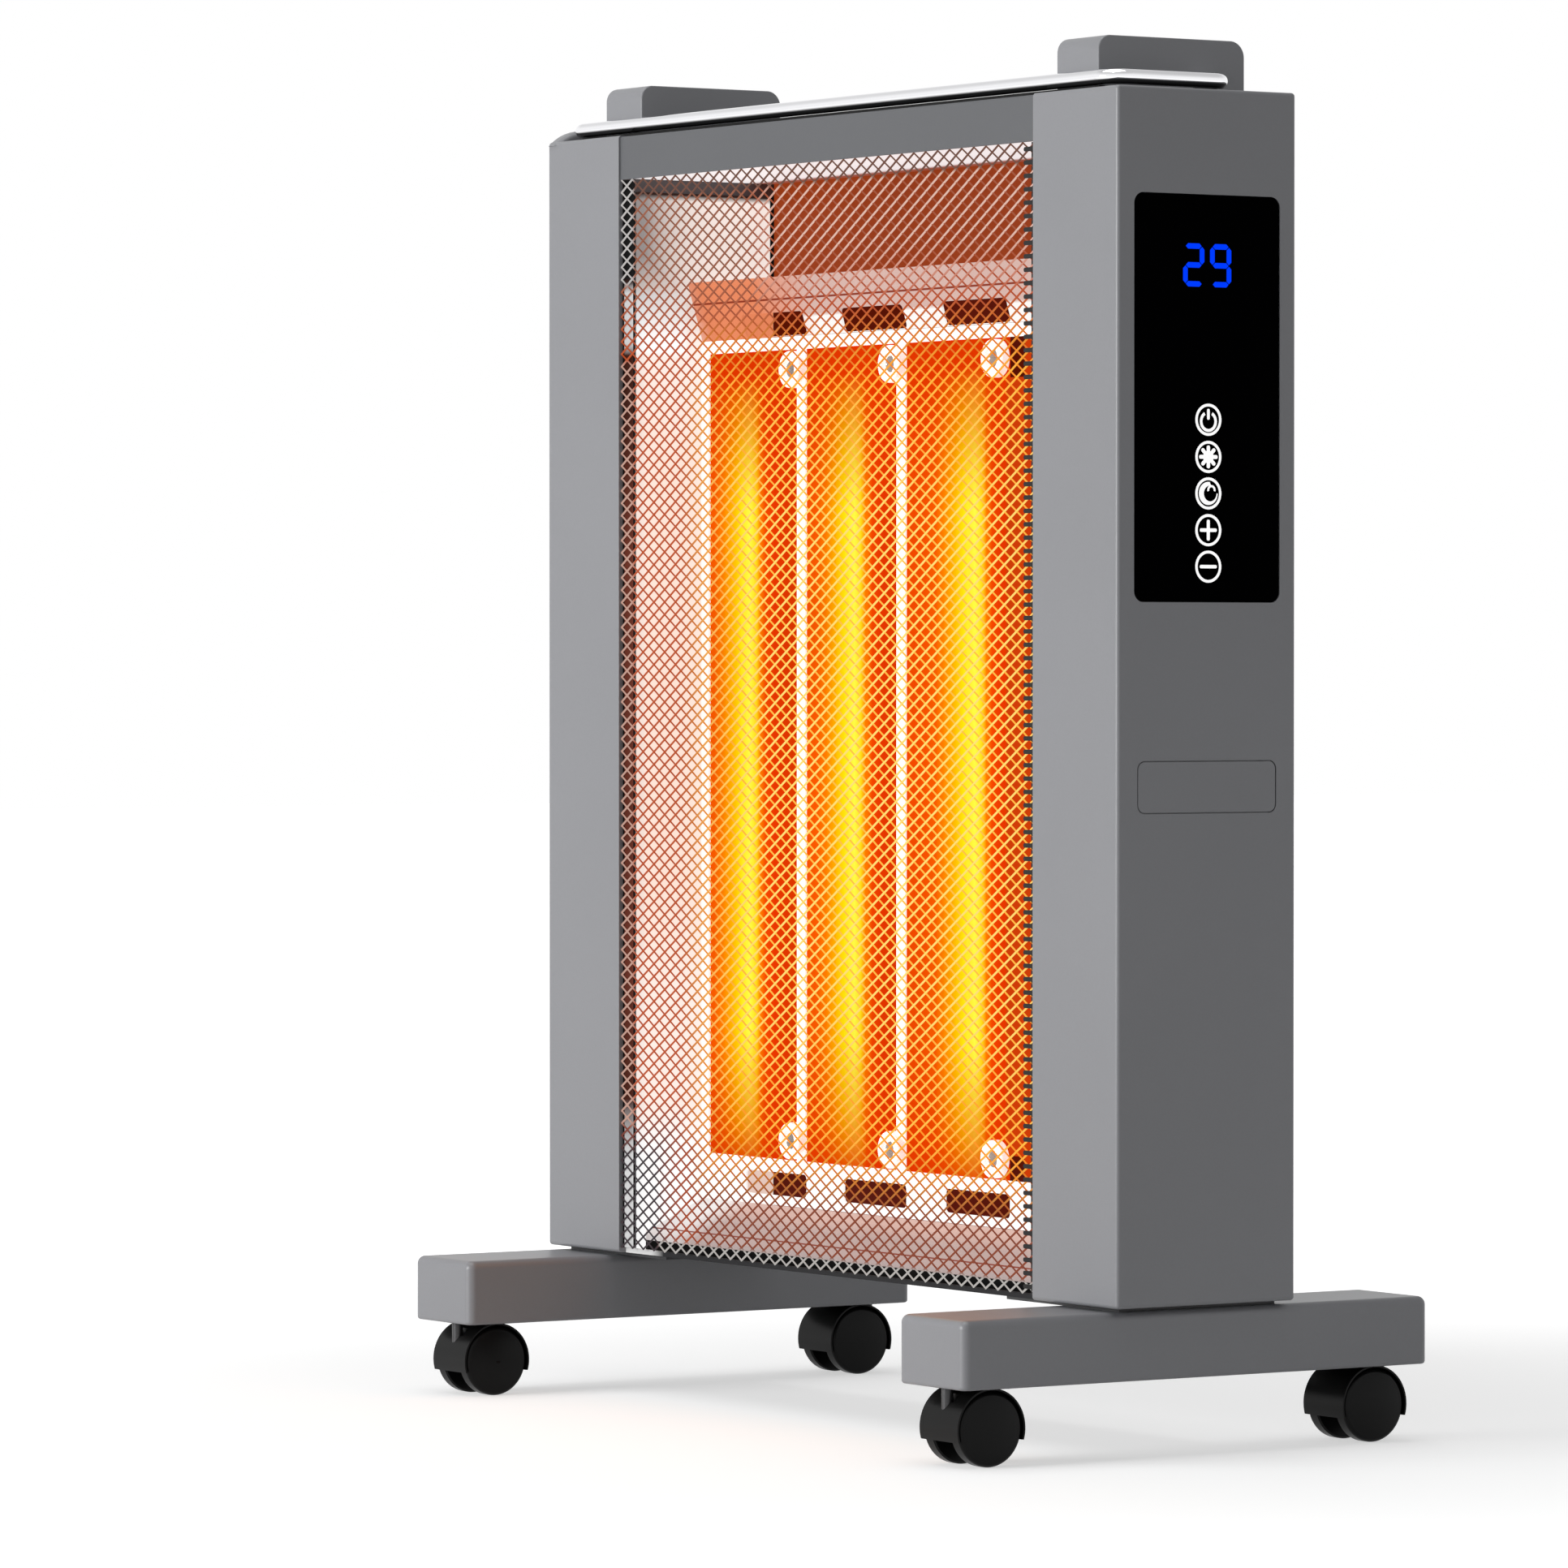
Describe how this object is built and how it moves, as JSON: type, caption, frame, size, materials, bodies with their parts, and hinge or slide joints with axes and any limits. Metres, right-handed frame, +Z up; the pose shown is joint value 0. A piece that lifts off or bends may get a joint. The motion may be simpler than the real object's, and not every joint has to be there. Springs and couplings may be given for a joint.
{
  "type": "electric panel heater",
  "caption": "Upright electric radiant heater: grey columns, glowing panels behind an expanded-metal grille, folding chrome rail, side touch panel and long feet on castors.",
  "frame": {"origin": "middle of the base on the floor, under the centre of the feet and castors", "axes": "+X to the right across the front, towards the side with the controls; +Y to the back; +Z up"},
  "size_m": [0.513, 0.275, 0.6796],
  "materials": {
    "grey_body": "satin grey paint look",
    "grey_sheet": "satin grey powder coat",
    "steel_screw": "plain",
    "bright_liner": "bright",
    "heater_plate": "matte, glowing",
    "glow": "glowing",
    "ceramic_white": "glazed white",
    "mesh_metal": "plain",
    "dark_plastic": "matte",
    "rest_rubber": "matte",
    "chrome": "polished",
    "panel_glass": "glossy black",
    "digit_blue": "lit",
    "board_green": "circuit board",
    "cutout_steel": "plain",
    "castor_black": "glossy black",
    "castor_pin_steel": "dark",
    "castor_wheel_black": "glossy black"
  },
  "bodies": {
    "frame": {"column_right": "grey_body", "column_left": "grey_body", "rail_block_right": "grey_body", "rail_block_left": "grey_body", "foot_right": "grey_body", "foot_left": "grey_body", "blank_plate": "grey_body", "inner_plate_right": "grey_sheet", "inner_plate_left": "grey_sheet", "top_cover": "grey_sheet", "bottom_pan": "grey_sheet", "rear_panel": "grey_sheet", "rear_screws": "steel_screw", "foot_bolts": "steel_screw", "button_screws": "steel_screw", "side_liner_right": "bright_liner", "side_liner_left": "bright_liner", "inner_back": "bright_liner", "ceiling_liner": "bright_liner", "reflector_upper": "bright_liner", "reflector_lower": "bright_liner", "element_frame": "bright_liner", "heater_panel_1": "heater_plate", "heater_panel_2": "heater_plate", "heater_panel_3": "heater_plate", "heater_panel_4": "heater_plate", "heating_strips": "glow", "ceramic_buttons": "ceramic_white", "front_grille": "mesh_metal", "grille_edge_strips": "mesh_metal", "rail_rest": "rest_rubber", "foot_plates": "dark_plastic", "foot_spacers": "dark_plastic", "rail_bushes": "dark_plastic", "control_carrier": "dark_plastic", "cord_gland": "dark_plastic", "tip_switch": "dark_plastic", "terminal_block": "dark_plastic", "control_glass": "panel_glass", "display_segments": "digit_blue", "control_board": "board_green", "thermal_cutout": "cutout_steel"},
    "rail": {"towel_rail": "chrome"},
    "castor_fr": {"castor_hood_fr": "castor_black", "castor_pins_fr": "castor_pin_steel"},
    "wheel_fr_a": {"castor_wheel_fr_a": "castor_wheel_black"},
    "wheel_fr_b": {"castor_wheel_fr_b": "castor_wheel_black"},
    "castor_fl": {"castor_hood_fl": "castor_black", "castor_pins_fl": "castor_pin_steel"},
    "wheel_fl_a": {"castor_wheel_fl_a": "castor_wheel_black"},
    "wheel_fl_b": {"castor_wheel_fl_b": "castor_wheel_black"},
    "castor_rr": {"castor_hood_rr": "castor_black", "castor_pins_rr": "castor_pin_steel"},
    "wheel_rr_a": {"castor_wheel_rr_a": "castor_wheel_black"},
    "wheel_rr_b": {"castor_wheel_rr_b": "castor_wheel_black"},
    "castor_rl": {"castor_hood_rl": "castor_black", "castor_pins_rl": "castor_pin_steel"},
    "wheel_rl_a": {"castor_wheel_rl_a": "castor_wheel_black"},
    "wheel_rl_b": {"castor_wheel_rl_b": "castor_wheel_black"}
  },
  "joints": [
    {"name": "rail_swing", "type": "hinge", "parent": "frame", "child": "rail", "pos_m": [0, 0.0214, 0.6583], "axis": [-1, 0, 0], "range_deg": [0, 180]},
    {"name": "swivel_fr", "type": "hinge", "parent": "frame", "child": "castor_fr", "pos_m": [0.2242, -0.128, 0.038], "axis": [0, 0, 1], "continuous": true},
    {"name": "spin_fr_a", "type": "hinge", "parent": "castor_fr", "child": "wheel_fr_a", "pos_m": [0.2242, -0.1136, 0.018], "axis": [1, 0, 0], "continuous": true},
    {"name": "spin_fr_b", "type": "hinge", "parent": "castor_fr", "child": "wheel_fr_b", "pos_m": [0.2242, -0.1136, 0.018], "axis": [1, 0, 0], "continuous": true},
    {"name": "swivel_fl", "type": "hinge", "parent": "frame", "child": "castor_fl", "pos_m": [-0.2242, -0.128, 0.038], "axis": [0, 0, 1], "continuous": true},
    {"name": "spin_fl_a", "type": "hinge", "parent": "castor_fl", "child": "wheel_fl_a", "pos_m": [-0.2242, -0.1136, 0.018], "axis": [1, 0, 0], "continuous": true},
    {"name": "spin_fl_b", "type": "hinge", "parent": "castor_fl", "child": "wheel_fl_b", "pos_m": [-0.2242, -0.1136, 0.018], "axis": [1, 0, 0], "continuous": true},
    {"name": "swivel_rr", "type": "hinge", "parent": "frame", "child": "castor_rr", "pos_m": [0.2242, 0.128, 0.038], "axis": [0, 0, 1], "continuous": true},
    {"name": "spin_rr_a", "type": "hinge", "parent": "castor_rr", "child": "wheel_rr_a", "pos_m": [0.2242, 0.1136, 0.018], "axis": [1, 0, 0], "continuous": true},
    {"name": "spin_rr_b", "type": "hinge", "parent": "castor_rr", "child": "wheel_rr_b", "pos_m": [0.2242, 0.1136, 0.018], "axis": [1, 0, 0], "continuous": true},
    {"name": "swivel_rl", "type": "hinge", "parent": "frame", "child": "castor_rl", "pos_m": [-0.2242, 0.128, 0.038], "axis": [0, 0, 1], "continuous": true},
    {"name": "spin_rl_a", "type": "hinge", "parent": "castor_rl", "child": "wheel_rl_a", "pos_m": [-0.2242, 0.1136, 0.018], "axis": [1, 0, 0], "continuous": true},
    {"name": "spin_rl_b", "type": "hinge", "parent": "castor_rl", "child": "wheel_rl_b", "pos_m": [-0.2242, 0.1136, 0.018], "axis": [1, 0, 0], "continuous": true}
  ]
}
